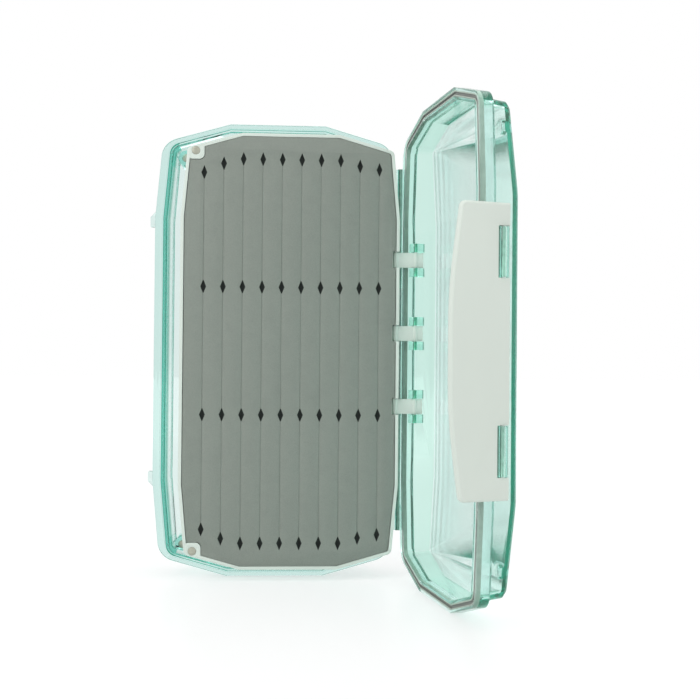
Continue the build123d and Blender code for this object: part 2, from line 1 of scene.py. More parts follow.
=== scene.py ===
"""Waterproof fly box standing open on its end.

Two clear green shells are hinged together. A swing leaf with slit foam hangs on three links from
the lid, a soft seal lies in the lid's rim, and a long white latch closes the other side. Sizes are
in millimetres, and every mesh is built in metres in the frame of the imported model.
"""
from __future__ import annotations

import json
import logging
import math
from dataclasses import dataclass, field
from enum import Enum
from functools import cache
from typing import Callable, Iterable, Sequence

import bmesh
import bpy
from mathutils import Matrix, Vector
from mathutils.geometry import normal


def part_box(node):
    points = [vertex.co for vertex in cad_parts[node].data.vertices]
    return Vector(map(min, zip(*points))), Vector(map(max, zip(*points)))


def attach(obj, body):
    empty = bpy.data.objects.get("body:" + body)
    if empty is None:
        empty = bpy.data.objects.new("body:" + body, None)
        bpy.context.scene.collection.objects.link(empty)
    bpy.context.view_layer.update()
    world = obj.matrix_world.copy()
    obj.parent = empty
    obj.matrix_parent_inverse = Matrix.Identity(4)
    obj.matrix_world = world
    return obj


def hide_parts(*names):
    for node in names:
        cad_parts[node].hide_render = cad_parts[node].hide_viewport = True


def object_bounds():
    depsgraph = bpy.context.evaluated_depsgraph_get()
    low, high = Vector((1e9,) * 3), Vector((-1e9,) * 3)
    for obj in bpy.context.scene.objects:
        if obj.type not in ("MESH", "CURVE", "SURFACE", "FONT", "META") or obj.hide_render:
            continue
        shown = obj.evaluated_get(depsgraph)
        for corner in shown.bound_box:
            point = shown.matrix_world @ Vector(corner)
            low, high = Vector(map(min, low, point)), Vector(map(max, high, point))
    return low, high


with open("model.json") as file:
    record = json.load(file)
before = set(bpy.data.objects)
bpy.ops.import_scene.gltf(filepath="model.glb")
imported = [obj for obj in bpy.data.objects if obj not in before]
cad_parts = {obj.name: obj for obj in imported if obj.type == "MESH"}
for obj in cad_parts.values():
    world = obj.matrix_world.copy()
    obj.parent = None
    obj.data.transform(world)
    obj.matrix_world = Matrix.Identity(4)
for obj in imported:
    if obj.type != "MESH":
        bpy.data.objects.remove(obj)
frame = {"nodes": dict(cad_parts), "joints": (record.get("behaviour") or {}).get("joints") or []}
cad_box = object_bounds()

LOG = logging.getLogger("fly_box")
Colour = tuple[float, float, float]
# how far the box's long sides and its ends are moved in
Inset = tuple[float, float]
MM = 0.001
# places closer than these are one place: in a drawing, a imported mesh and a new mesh
HAIR = 0.01
CAD_SEAM = 0.002
NEW_SEAM = 0.005
# edges that turn by more degrees are hard, and faces that turn by fewer are one face
HARD_ANGLE = 32.0
FLAT_ANGLE = 0.4
THREE_PLACES = ("upper", "middle", "lower")
TWO_PLACES = ("upper", "lower")
BEVEL_WEIGHT = "bevel_weight_edge"
# the faces that get the painted deeper tint of light that has come through thick plastic
PAINTED_TINT_MARK = "painted_tint_share"
# the faces that get the painted shade in the seal's channel
CHANNEL_SHADE_MARK = "painted_channel_shade"
SEEN_RAYS = ("Is Camera Ray", "Is Glossy Ray", "Is Transmission Ray")
WHITE = (1.0, 1.0, 1.0, 1.0)


# ---- node trees, written as expressions
class Tree:
    """One node tree, shader or geometry, in which every node is made by the same call."""

    def __init__(self, tree: bpy.types.NodeTree) -> None:
        """Keep the tree and clear it."""
        self.tree = tree
        self.tree.nodes.clear()

    def node(
        self,
        kind: str,
        settings: dict[str, object] | None = None,
        inputs: dict[str | int, object] | None = None,
        output: str | int = 0,
    ) -> Value:
        """Add a node, set it up and feed its sockets.

        Args:
            kind: Blender's type name of the node.
            settings: properties that are set first.
            inputs: a value or another node's output for each named or numbered socket.
            output: the socket that the result stands for.

        Returns:
            The chosen output, or the node's first input where it has no output.
        """
        made = self.tree.nodes.new(kind)
        for name, setting in (settings or {}).items():
            setattr(made, name, setting)
        for name, given in (inputs or {}).items():
            for one in given if isinstance(given, list) else [given]:
                if isinstance(one, Value):
                    self.tree.links.new(one.socket, made.inputs[name])
                else:
                    made.inputs[name].default_value = one
        sockets = made.outputs if made.outputs else made.inputs
        return Value(self, sockets[output])

    def mix(self, factor: Value | float, low: object, high: object) -> Value:
        """Blend two colours.

        Args:
            factor: 0 gives low and 1 gives high.
            low: a colour or an output.
            high: a colour or an output.

        Returns:
            The blended colour.
        """
        ends = [(*end, 1.0) if isinstance(end, tuple) else end for end in (low, high)]
        return self.node(
            "ShaderNodeMix", {"data_type": "RGBA"}, {0: factor, 6: ends[0], 7: ends[1]}, output=2)

    def noise(
        self, where: Value, scale: float, detail: float = 2.0, roughness: float = 0.5,
    ) -> Value:
        """Noise between 0 and 1 over a place.

        Args:
            where: the coordinates.
            scale: cells for each metre.
            detail: octaves.
            roughness: strength of the finer octaves.

        Returns:
            The noise value.
        """
        inputs = {"Vector": where, "Scale": scale, "Detail": detail, "Roughness": roughness}
        return self.node("ShaderNodeTexNoise", {"noise_dimensions": "3D"}, inputs)

    def place(self, stretch: tuple[float, float, float] = (1.0, 1.0, 1.0)) -> Value:
        """The surface's own coordinates, stretched by a factor for each axis."""
        own = self.node("ShaderNodeTexCoord", output="Object")
        return self.node("ShaderNodeMapping", None, {"Vector": own, "Scale": stretch})

    def bump(self, height: Value, depth: float, strength: float) -> Value:
        """A normal from a height that is depth metres high, with a share of its effect."""
        inputs = {"Height": height, "Distance": depth, "Strength": strength}
        return self.node("ShaderNodeBump", None, inputs)

    def seen(self) -> Value:
        """1 where the camera looks straight, in a reflection or through plastic, 0 for light."""
        rays = [self.node("ShaderNodeLightPath", output=name) for name in SEEN_RAYS]
        return sum(rays).between(0.0, 1.0)

    def vector(self, x: object, y: object, z: object) -> Value:
        """Three sizes as one."""
        return self.node("ShaderNodeCombineXYZ", None, {0: x, 1: y, 2: z})


@dataclass(frozen=True)
class Value:
    """An output of a node, on which Python's operators add Math nodes."""

    tree: Tree
    socket: bpy.types.NodeSocket

    def _maths(self, operation: str, first: object, second: object) -> Value:
        """Add one Math node."""
        return self.tree.node("ShaderNodeMath", {"operation": operation}, {0: first, 1: second})

    def __add__(self, other: object) -> Value:
        """Sum."""
        return self._maths("ADD", self, other)

    def __radd__(self, other: object) -> Value:
        """Sum, the other way round."""
        return self._maths("ADD", other, self)

    def __sub__(self, other: object) -> Value:
        """Difference."""
        return self._maths("SUBTRACT", self, other)

    def __rsub__(self, other: object) -> Value:
        """Difference, the other way round."""
        return self._maths("SUBTRACT", other, self)

    def __mul__(self, other: object) -> Value:
        """Product."""
        return self._maths("MULTIPLY", self, other)

    def __rmul__(self, other: object) -> Value:
        """Product, the other way round."""
        return self._maths("MULTIPLY", other, self)

    def between(self, low: float, high: float) -> Value:
        """0 below low, 1 above high and straight between them."""
        inputs = {"Value": self, "From Min": low, "From Max": high}
        return self.tree.node("ShaderNodeMapRange", {"clamp": True}, inputs)


# ---- finishes
@dataclass(frozen=True)
class Finish:
    """A surface finish that can make its material."""

    name: str

    @cache
    def material(self) -> bpy.types.Material:
        """Make the finish's one Blender material.

        Returns:
            The material with its nodes, which every later call gives again.
        """
        made = bpy.data.materials.new(self.name)
        made.use_nodes = True
        self.fill(Tree(made.node_tree))
        return made

    def fill(self, tree: Tree) -> None:
        """Add the finish's nodes to its tree."""
        raise NotImplementedError

    @staticmethod
    def principled(tree: Tree, inputs: dict[str, object]) -> None:
        """Link one Principled shader with these inputs to the material's surface."""
        shader = tree.node("ShaderNodeBsdfPrincipled", None, inputs)
        tree.node("ShaderNodeOutputMaterial", None, {"Surface": shader})


@dataclass(frozen=True)
class ClearPlastic(Finish):
    """Polished tinted polycarbonate, pale on its faces and dark green through its edges, with a
    painted deeper tint where light has passed through thick plastic.
    """

    tint: Colour
    absorbed: Colour
    density: float
    # painted deeper green for faces where light has passed through thick plastic
    painted_depth_tint: Colour
    polish: float = 0.02
    smudge: float = 0.04
    shadow_tint: Colour = (0.90, 0.985, 0.975)
    wall_fade: tuple[float, float] = (0.003, 0.009)
    smudges_per_metre: float = 45.0
    ripples_per_metre: float = 22.0
    ripple_depth: float = 0.00012
    scratch_stretch: tuple[float, float, float] = (260.0, 260.0, 9.0)

    def fill(self, tree: Tree) -> None:
        """Glass with absorption inside, through which lamps light what it holds, and a painted
        deeper tint on the marked faces.

        Args:
            tree: the material's tree.
        """
        where = tree.place()
        smudges = tree.noise(where, self.smudges_per_metre, 4.0).between(0.45, 0.75)
        scratches = tree.noise(tree.place(self.scratch_stretch), 3.0, 3.0)
        ripple = tree.noise(where, self.ripples_per_metre, 1.0)
        # painted deep green on the marked faces, for light that has come through thick plastic,
        # fading out between 3 and 9 mm along Y
        mark = tree.node("ShaderNodeAttribute", {"attribute_name": PAINTED_TINT_MARK}, output="Fac")
        depth = tree.node("ShaderNodeSeparateXYZ", None, {"Vector": where}, "Y")
        painted_tint_share = mark * (1.0 - depth.between(*self.wall_fade))
        glass = tree.node("ShaderNodeBsdfPrincipled", None, {
            "Base Color": tree.mix(painted_tint_share, self.tint, self.painted_depth_tint),
            "Transmission Weight": 1.0,
            "IOR": 1.5,
            "Roughness": smudges * self.smudge + self.polish,
            "Normal": tree.bump(ripple + scratches * 0.04, self.ripple_depth, 0.05),
        })
        lamps = tree.node("ShaderNodeBsdfTransparent", None, {"Color": (*self.shadow_tint, 1.0)})
        shadow_ray = tree.node("ShaderNodeLightPath", output="Is Shadow Ray")
        surface = tree.node("ShaderNodeMixShader", None, {0: shadow_ray, 1: glass, 2: lamps})
        inside = tree.node("ShaderNodeVolumeAbsorption", None, {
            "Color": (*self.absorbed, 1.0), "Density": self.density})
        tree.node("ShaderNodeOutputMaterial", None, {"Surface": surface, "Volume": inside})


@dataclass(frozen=True)
class SatinPlastic(Finish):
    """Moulded opaque plastic with a fine satin grain and faint flow marks."""

    colour: Colour
    shade: Colour
    roughness: float = 0.42
    unevenness: float = 0.12
    clouds_per_metre: float = 60.0
    cloud_stretch: tuple[float, float, float] = (1.0, 1.0, 0.35)
    specks_per_metre: float = 5200.0
    grain: float = 0.00002

    def fill(self, tree: Tree) -> None:
        """Two close tones, an uneven gloss and a fine grain.

        Args:
            tree: the material's tree.
        """
        clouds = tree.noise(tree.place(self.cloud_stretch), self.clouds_per_metre, 3.0)
        specks = tree.noise(tree.place(), self.specks_per_metre)
        tone = (clouds * 0.8 + specks * 0.2).between(0.3, 0.7)
        self.principled(tree, {
            "Base Color": tree.mix(tone, self.shade, self.colour),
            "Roughness": clouds * self.unevenness + (self.roughness - self.unevenness / 2),
            "IOR": 1.48,
            "Normal": tree.bump(specks, self.grain, 0.6),
        })


@dataclass(frozen=True)
class SealRubber(Finish):
    """Soft silicone, slightly dusty, with painted shade down in its channel."""

    colour: Colour = (0.42, 0.49, 0.43)
    dust: Colour = (0.51, 0.58, 0.51)
    # painted shade for the channel between the lips, where little light reaches
    channel: Colour = (0.27, 0.29, 0.27)
    roughness: float = 0.55
    dust_roughness: float = 0.15
    patches_per_metre: float = 420.0
    grains_per_metre: float = 3800.0
    grain: float = 0.00003

    def fill(self, tree: Tree) -> None:
        """A matt body with pale dust in patches and painted shade in the channel.

        Args:
            tree: the material's tree.
        """
        patches = tree.noise(tree.place(), self.patches_per_metre, 4.0).between(0.4, 0.7)
        channel_shade_mask = tree.node("ShaderNodeAttribute", {"attribute_name": CHANNEL_SHADE_MARK}, output="Fac")
        lips = tree.mix(patches, self.colour, self.dust)
        self.principled(tree, {
            "Base Color": tree.mix(channel_shade_mask, lips, self.channel),
            "Roughness": patches * self.dust_roughness + self.roughness,
            "IOR": 1.41,
            "Normal": tree.bump(tree.noise(tree.place(), self.grains_per_metre), self.grain, 0.5),
        })


@dataclass(frozen=True)
class Foam(Finish):
    """Closed-cell foam with a fine skin: cells, faint mottling and a matt bloom."""

    colour: Colour = (0.262, 0.292, 0.258)
    cell: Colour = (0.215, 0.245, 0.218)
    roughness: float = 0.92
    cells_per_metre: float = 3600.0
    mottles_per_metre: float = 260.0
    cell_depth: float = 0.00009

    def fill(self, tree: Tree) -> None:
        """Small round cells over a slow mottling.

        Args:
            tree: the material's tree.
        """
        where = tree.place()
        cells = tree.node("ShaderNodeTexVoronoi", {"feature": "F1"}, {
            "Vector": where, "Scale": self.cells_per_metre})
        pores = cells.between(0.1, 0.55)
        mottle = tree.noise(where, self.mottles_per_metre, 4.0, 0.6)
        tone = (pores * 0.55 + mottle * 0.45).between(0.25, 0.8)
        self.principled(tree, {
            "Base Color": tree.mix(tone, self.cell, self.colour),
            "Roughness": self.roughness - mottle * 0.1,
            "Sheen Weight": 0.12,
            "Sheen Roughness": 0.6,
            "Normal": tree.bump(pores * 0.6 + mottle * 0.4, self.cell_depth, 0.55),
        })


@dataclass(frozen=True)
class FoamHoleShade(Finish):
    """Painted shade on the walls of the holes that were punched in the foam."""

    # painted shade: near black, for the shade down in the punched holes
    colour: Colour = (0.028, 0.034, 0.031)
    lighter: float = 2.2
    tears_per_metre: float = 2600.0
    tear_depth: float = 0.0002

    def fill(self, tree: Tree) -> None:
        """A rough, open-celled cut, painted near black for the shade in the hole.

        Args:
            tree: the material's tree.
        """
        tears = tree.noise(tree.place(), self.tears_per_metre, 3.0)
        lighter = tuple(channel * self.lighter for channel in self.colour)
        self.principled(tree, {
            "Base Color": tree.mix(tears, self.colour, lighter),
            "Roughness": 0.95,
            "Normal": tree.bump(tears, self.tear_depth, 0.8),
        })


@dataclass(frozen=True)
class BrushedMetal(Finish):
    """Bright metal with fine drawing lines and dull patches."""

    colour: Colour
    roughness: float
    along: tuple[float, float, float] = (1.0, 1.0, 0.03)
    dulled: float = 0.72
    lines_per_metre: float = 9000.0
    patches_per_metre: float = 700.0
    line_depth: float = 0.00002

    def fill(self, tree: Tree) -> None:
        """Lines along the drawn direction over dull patches.

        Args:
            tree: the material's tree.
        """
        lines = tree.noise(tree.place(self.along), self.lines_per_metre, 3.0)
        patches = tree.noise(tree.place(), self.patches_per_metre, 3.0)
        dull = tuple(channel * self.dulled for channel in self.colour)
        self.principled(tree, {
            "Base Color": tree.mix(patches.between(0.35, 0.75), self.colour, dull),
            "Metallic": 1.0,
            "Roughness": patches * 0.14 + lines * 0.1 + (self.roughness - 0.12),
            "Normal": tree.bump(lines, self.line_depth, 0.4),
        })


@dataclass(frozen=True)
class StudioFloor(Finish):
    """Glossy white acrylic that the camera sees as white and that still takes shadows."""

    colour: Colour = (0.93, 0.93, 0.93)
    glow: float = 1.12
    share: float = 0.5
    near: float = 0.3
    far: float = 0.9

    def fill(self, tree: Tree) -> None:
        """Plain white for light; where it is seen it glows, more so away from the box.

        Args:
            tree: the material's tree.
        """
        acrylic = tree.node("ShaderNodeBsdfPrincipled", None, {
            "Base Color": (*self.colour, 1.0), "Roughness": 0.3, "IOR": 1.3})
        glow = tree.node("ShaderNodeEmission", None, {"Color": WHITE, "Strength": self.glow})
        place = tree.place()
        away = tree.node("ShaderNodeVectorMath", {"operation": "LENGTH"}, {0: place}, "Value")
        share = away.between(self.near, self.far) * (1.0 - self.share) + self.share
        surface = tree.node(
            "ShaderNodeMixShader", None, {0: tree.seen() * share, 1: acrylic, 2: glow})
        tree.node("ShaderNodeOutputMaterial", None, {"Surface": surface})


# each shell's wall tint is a painted deeper green for light that has come through thick plastic
BASE_SHELL = ClearPlastic(
    "base_polycarbonate", tint=(0.88, 0.905, 0.895), absorbed=(0.05, 0.70, 0.60), density=80.0,
    painted_depth_tint=(0.04, 0.36, 0.26))
LID_SHELL = ClearPlastic(
    "lid_polycarbonate", tint=(0.88, 0.935, 0.915), absorbed=(0.0, 0.82, 0.71), density=40.0,
    painted_depth_tint=(0.30, 0.70, 0.55), polish=0.08)
LATCH_PLASTIC = SatinPlastic("latch_plastic", (0.69, 0.755, 0.69), (0.66, 0.725, 0.665))
LEAF_PLASTIC = SatinPlastic("leaf_plastic", (0.72, 0.80, 0.735), (0.69, 0.77, 0.705), 0.36)
SEAL = SealRubber("seal_silicone")
FOAM = Foam("slit_foam")
# painted shade for the walls of the foam's holes
FOAM_HOLE_SHADE = FoamHoleShade("foam_hole_painted_shade")
MAGNET = BrushedMetal("plated_magnet", (0.47, 0.48, 0.40), 0.42, (1.0, 1.0, 1.0))
STEEL = BrushedMetal("drawn_steel", (0.82, 0.84, 0.82), 0.42)


# ---- meshes
def middle(box: Sequence[Sequence[float]]) -> Vector:
    """The middle, in millimetres, of a box that is given by two corners in metres."""
    low, high = box
    return (Vector(low) + Vector(high)) / 2 / MM


def new_piece(name: str, work: bmesh.types.BMesh) -> bpy.types.Object:
    """An object at the origin with the mesh that was worked on.

    Args:
        name: the object's name.
        work: its mesh, which is freed.

    Returns:
        The new object.
    """
    mesh = bpy.data.meshes.new(name)
    work.to_mesh(mesh)
    work.free()
    piece = bpy.data.objects.new(name, mesh)
    bpy.context.scene.collection.objects.link(piece)
    return piece


def baked(piece: bpy.types.Object) -> bpy.types.Object:
    """Turn an object's modifiers into its mesh.

    Args:
        piece: an object with modifiers.

    Returns:
        The same object with a plain mesh and no modifiers.
    """
    depsgraph = bpy.context.evaluated_depsgraph_get()
    mesh = bpy.data.meshes.new_from_object(piece.evaluated_get(depsgraph))
    piece.modifiers.clear()
    piece.data = mesh
    return piece


def soften(mesh: bpy.types.Mesh, degrees: float = HARD_ANGLE) -> None:
    """Shade a mesh smooth, with the edges that turn by more degrees kept sharp."""
    mesh.shade_smooth()
    mesh.set_sharp_from_angle(angle=math.radians(degrees))


def mend_normals(mesh: bpy.types.Mesh) -> None:
    """Merge a new mesh's doubles and turn its faces outwards.

    Args:
        mesh: the mesh to mend, in metres.
    """
    work = bmesh.new()
    work.from_mesh(mesh)
    bmesh.ops.remove_doubles(work, verts=work.verts, dist=NEW_SEAM * MM)
    bmesh.ops.recalc_face_normals(work, faces=work.faces)
    work.to_mesh(mesh)
    work.free()


@dataclass(frozen=True)
class Rounding:
    """A rounding of hard edges: its radius in millimetres, its faces and the edges it is for."""

    radius: float
    segments: int = 2
    picked: Callable[[Vector], bool] | None = None
    angle: float = HARD_ANGLE

    def mark(self, work: bmesh.types.BMesh) -> None:
        """Weigh the hard edges whose ends are picked, so that only they are rounded.

        Args:
            work: the mesh whose edges get their weights.
        """
        layers = work.edges.layers.float
        layer = layers.get(BEVEL_WEIGHT) or layers.new(BEVEL_WEIGHT)
        for edge in work.edges:
            hard = len(edge.link_faces) == 2 and edge.calc_face_angle() > math.radians(self.angle)
            edge[layer] = float(hard and all(self.picked(vert.co / MM) for vert in edge.verts))

    def round(self, piece: bpy.types.Object) -> None:
        """Round a piece's edges.

        Args:
            piece: the object to shape.
        """
        bevel = piece.modifiers.new("rounding", "BEVEL")
        bevel.width = self.radius * MM
        bevel.segments = self.segments
        bevel.limit_method = "WEIGHT" if self.picked else "ANGLE"
        bevel.angle_limit = math.radians(self.angle)
        baked(piece)


def rounded_copy(node: str, name: str, *roundings: Rounding) -> bpy.types.Object:
    """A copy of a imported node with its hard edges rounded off.

    Args:
        node: the node to copy.
        name: the new piece's name.
        roundings: what is rounded; picked edges come first.

    Returns:
        The new piece, which replaces the node.
    """
    work = bmesh.new()
    work.from_mesh(frame["nodes"][node].data)
    bmesh.ops.remove_doubles(work, verts=work.verts, dist=CAD_SEAM * MM)
    bmesh.ops.dissolve_limit(
        work, angle_limit=math.radians(FLAT_ANGLE), verts=work.verts, edges=work.edges)
    for rounding in roundings:
        if rounding.picked:
            rounding.mark(work)
    piece = new_piece(name, work)
    for rounding in roundings:
        rounding.round(piece)
    soften(piece.data)
    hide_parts(node)
    return piece


def dress(piece: bpy.types.Object, finish: Finish) -> None:
    """Give a piece one finish.

    Args:
        piece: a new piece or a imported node.
        finish: the finish to use on all of it.
    """
    materials = piece.data.materials
    if not materials:
        materials.append(finish.material())
    for index in range(len(materials)):
        materials[index] = finish.material()
    LOG.info("%s dressed in %s", piece.name, finish.name)


@dataclass(frozen=True)
class Outline:
    """The box's twelve-sided outline, moved in from the flange."""

    length: float = 190.0
    width: float = 102.4
    end_flat: float = 40.0
    end_slope: float = 16.0
    side_taper: float = 5.2
    taper_length: float = 40.0
    corner_radius: float = 8.5
    least_radius: float = 1.5
    corner_steps: int = 14

    @staticmethod
    def flat(point: Vector) -> Vector:
        """A place in the frame as a place across and along the box, from its middle."""
        return Vector((point.x, point.z - middle(cad_box).z))

    def ring(self, inset: Inset) -> list[Vector]:
        """The outline's points, counter-clockwise.

        Args:
            inset: how far the outline is moved in.

        Returns:
            Points across and along the box, from its middle.
        """
        side_inset, end_inset = inset
        half_width = self.width / 2 - side_inset
        half_length = self.length / 2 - end_inset
        flat = self.end_flat / 2
        taper_start = self.length / 2 - self.taper_length
        slope = math.tan(math.radians(self.end_slope))
        taper = math.tan(math.radians(self.side_taper))
        corner_x = half_width - taper * (half_length + slope * flat - taper_start)
        corner_x /= 1 - taper * slope
        corner = Vector((corner_x, half_length - slope * (corner_x - flat)))
        radius = max(self.corner_radius - side_inset, self.least_radius)
        before, after = Vector((half_width, taper_start)), Vector((flat, half_length))
        quarter = [before, *self._arc(before, corner, after, radius), after]
        upper = quarter + [Vector((-p.x, p.y)) for p in reversed(quarter)]
        return upper + [Vector((-p.x, -p.y)) for p in upper]

    def holds(self, point: Vector, inset: Inset) -> bool:
        """Whether a point lies inside the outline.

        Args:
            point: a place across and along the box, from its middle.
            inset: how far the outline is moved in.

        Returns:
            True inside it.
        """
        ring = self.ring(inset)
        ends = zip(ring, ring[1:] + ring[:1])
        return all((b - a).cross(point - a) > 0.0 for a, b in ends if (b - a).length > HAIR)

    def _arc(self, before: Vector, corner: Vector, after: Vector, radius: float) -> list[Vector]:
        """Points that round a corner off.

        Args:
            before: a point on the run that comes in.
            corner: the sharp corner.
            after: a point on the run that goes out.
            radius: the rounding's radius.

        Returns:
            The arc's points, in order.
        """
        into, out = (before - corner).normalized(), (after - corner).normalized()
        half = into.angle(out) / 2
        centre = corner + (into + out).normalized() * (radius / math.sin(half))
        start = corner + into * (radius / math.tan(half)) - centre
        turn = math.pi - 2 * half
        steps = range(self.corner_steps + 1)
        return [centre + Matrix.Rotation(turn * i / self.corner_steps, 2) @ start for i in steps]


@dataclass(frozen=True)
class Seat:
    """A flat place of the box: across, along and out of it, with its middle in millimetres."""

    middle: Vector
    across: Vector
    out: Vector

    def matrix(self) -> Matrix:
        """The seat's place in the frame, for meshes drawn in millimetres.

        Returns:
            The matrix from millimetres on the seat to metres in the frame.
        """
        along = self.out.cross(self.across)
        turn = Matrix((self.across, along, self.out)).transposed().to_4x4()
        return Matrix.Translation(self.middle * MM) @ turn @ Matrix.Scale(MM, 4)


# ---- geometry nodes
class Shaper(Tree):
    """A geometry node group, in millimetres, that is used once on one object."""

    def __init__(self, name: str) -> None:
        """Start a group with a geometry input and output.

        Args:
            name: the group's name.
        """
        super().__init__(bpy.data.node_groups.new(name, "GeometryNodeTree"))
        self.given: dict[str, object] = {}
        for side in ("INPUT", "OUTPUT"):
            self.tree.interface.new_socket(
                name="Geometry", in_out=side, socket_type="NodeSocketGeometry")

    def take(self, values: dict[str, object], kind: str = "NodeSocketFloat") -> None:
        """Add named inputs.

        Args:
            values: each input's name, with the number, object or material that it gets.
            kind: the sockets' type.
        """
        for name, value in values.items():
            socket = self.tree.interface.new_socket(name=name, in_out="INPUT", socket_type=kind)
            self.given[socket.identifier] = value

    def __getitem__(self, name: str) -> Value:
        """The group's input with this name."""
        return self.node("NodeGroupInput", output=name)

    def shape_of(self, name: str) -> Value:
        """The mesh of the object in an input."""
        return self.node("GeometryNodeObjectInfo", None, {"Object": self[name]}, "Geometry")

    def coated(self, shape: Value, name: str) -> Value:
        """A shape with the material in an input on all of it."""
        inputs = {"Geometry": shape, "Material": self[name]}
        return self.node("GeometryNodeSetMaterial", None, inputs)

    def swept(self, path: Value, section: Value, caps: bool) -> Value:
        """A section swept upright along bare edges.

        Args:
            path: the mesh whose edges are followed.
            section: the section's curve.
            caps: whether the ends are closed.

        Returns:
            The swept mesh.
        """
        line = self.node("GeometryNodeMeshToCurve", None, {"Mesh": path})
        upright = self.node("GeometryNodeSetCurveNormal", {"mode": "Z_UP"}, {"Curve": line})
        return self.node("GeometryNodeCurveToMesh", None, {
            "Curve": upright, "Profile Curve": section, "Fill Caps": caps})

    def repeated(self, spots: str, shape: Value, finish: str) -> Value:
        """One copy of a shape on every point of an object.

        Args:
            spots: the input with the object whose points are used.
            shape: the shape to repeat.
            finish: the input with its material.

        Returns:
            The copies, made real.
        """
        placed = self.node("GeometryNodeInstanceOnPoints", None, {
            "Points": self.shape_of(spots), "Instance": shape})
        real = self.node("GeometryNodeRealizeInstances", None, {"Geometry": placed})
        return self.coated(real, finish)

    def finish(self, result: Value) -> None:
        """Link the last geometry to the group's output, with its instances made real."""
        real = self.node("GeometryNodeRealizeInstances", None, {"Geometry": result})
        self.node("NodeGroupOutput", None, {"Geometry": real})

    def apply(self, piece: bpy.types.Object) -> bpy.types.Object:
        """Run the group on an object and keep the result as its mesh.

        Args:
            piece: the object to shape.

        Returns:
            The same object with a plain mesh.
        """
        modifier = piece.modifiers.new(self.tree.name, "NODES")
        modifier.node_group = self.tree
        for identifier, value in self.given.items():
            modifier[identifier] = value
        return baked(piece)


def wire(name: str, runs: Iterable[Sequence[Vector]], closed: bool = False) -> bpy.types.Object:
    """A helper object of bare edges, in millimetres.

    Args:
        name: the helper's name.
        runs: the points of each run.
        closed: whether each run ends where it starts.

    Returns:
        The helper, which the caller removes.
    """
    work = bmesh.new()
    for run in runs:
        corners = [work.verts.new(point.to_3d()) for point in run]
        following = corners[1:] + (corners[:1] if closed else [])
        for pair in zip(corners, following):
            work.edges.new(pair)
    return new_piece(name, work)


def remove(helpers: Iterable[bpy.types.Object]) -> None:
    """Delete helper objects."""
    for helper in helpers:
        bpy.data.objects.remove(helper)


# ---- the box's parts
@dataclass
class ClearShells:
    """The base and the lid, moulded in clear tinted plastic, with a painted deeper tint on their
    thick parts.
    """

    outline: Outline
    edge_radius: float = 0.3
    rim: float = -2.5
    rim_radius: float = 0.85
    rim_segments: int = 4
    wall: Inset = (3.3, 2.2)
    wall_depth: float = 3.6
    sides_from: float = 36.0
    # the lid's shares of the painted deeper tint: on its blocks, at its ends and on its hinge
    # side's wall
    ear_reach: float = 7.4
    ear_share: float = 1.0
    lug_reach: float = 8.6
    lug_share: float = 0.45
    end_from: float = 66.0
    end_share: float = 0.2
    end_wall_share: float = 0.42
    wall_turn: float = 0.5
    hinge_wall_from: float = -25.0
    hinge_wall_turn: float = 0.9
    hinge_wall_share: float = 0.38

    def build(self) -> None:
        """Round the shells' edges and dress them."""
        base = rounded_copy(
            "base_shell", "base_shell_moulded",
            Rounding(self.rim_radius, self.rim_segments, self._over_wall),
            Rounding(self.edge_radius))
        dress(base, BASE_SHELL)
        self._mark_painted_tint(base.data, self._base_painted_tint_share)
        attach(base, "base")
        lid = rounded_copy("lid_shell", "lid_shell_moulded", Rounding(self.edge_radius))
        dress(lid, LID_SHELL)
        blocks = [(f"leaf_link_{place}", self.ear_reach, self.ear_share) for place in THREE_PLACES]
        blocks += [(f"latch_pin_{place}", self.lug_reach, self.lug_share) for place in TWO_PLACES]
        placed = [(middle(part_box(node)).z, reach, share) for node, reach, share in blocks]
        self._mark_painted_tint(lid.data, lambda points: self._lid_painted_tint_share(points, placed))
        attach(lid, "lid")
        dress(frame["nodes"]["hinge_pin"], STEEL)

    @staticmethod
    def _mark_painted_tint(mesh: bpy.types.Mesh, share: Callable[[Sequence[Vector]], float]) -> None:
        """Give every face its share of the painted deeper tint.

        Args:
            mesh: the shell's mesh.
            share: works the share out from a face's corners in millimetres.
        """
        marks = mesh.attributes.new(PAINTED_TINT_MARK, "FLOAT", "FACE")
        for face in mesh.polygons:
            points = [mesh.vertices[index].co / MM for index in face.vertices]
            marks.data[face.index].value = share(points)

    def _lid_painted_tint_share(
        self, points: Sequence[Vector], blocks: Iterable[tuple[float, float, float]],
    ) -> float:
        """How much painted deeper tint a face of the lid gets: on its blocks, at its ends and on
        its hinge side's wall.

        Args:
            points: the face's corners in millimetres.
            blocks: each solid block's height, how far it reaches up and down, and its share.

        Returns:
            The share, from 0 to 1.
        """
        shares = [share for height, reach, share in blocks
                  if all(abs(point.z - height) < reach for point in points)]
        if all(abs(self.outline.flat(point).y) >= self.end_from for point in points):
            upright = abs(normal(points).z) < self.wall_turn
            shares.append(self.end_share if upright else self.end_wall_share)
        if (all(point.y > self.hinge_wall_from for point in points)
                and abs(normal(points).y) > self.hinge_wall_turn):
            shares.append(self.hinge_wall_share)
        return max(shares, default=0.0)

    def _over_wall(self, point: Vector) -> bool:
        """Whether a point is on the rim over a long wall of the base, whose depth shows."""
        on_side = abs(point.y - self.rim) < HAIR and abs(point.x) > self.sides_from
        return on_side and self.outline.holds(self.outline.flat(point), self.wall)

    def _base_painted_tint_share(self, points: Sequence[Vector]) -> float:
        """How much painted wall tint a face of the base gets: all on the long sides' inner edge.

        Args:
            points: the face's corners in millimetres.

        Returns:
            The share, from 0 to 1.
        """
        side, end = self.wall
        inner = (side + self.wall_depth, end + self.wall_depth)
        for flat in map(self.outline.flat, points):
            if not self.outline.holds(flat, self.wall) or self.outline.holds(flat, inner):
                return 0.0
        on_rim = all(abs(point.y - self.rim) < HAIR for point in points)
        return float(not on_rim and all(abs(point.x) > self.sides_from for point in points))


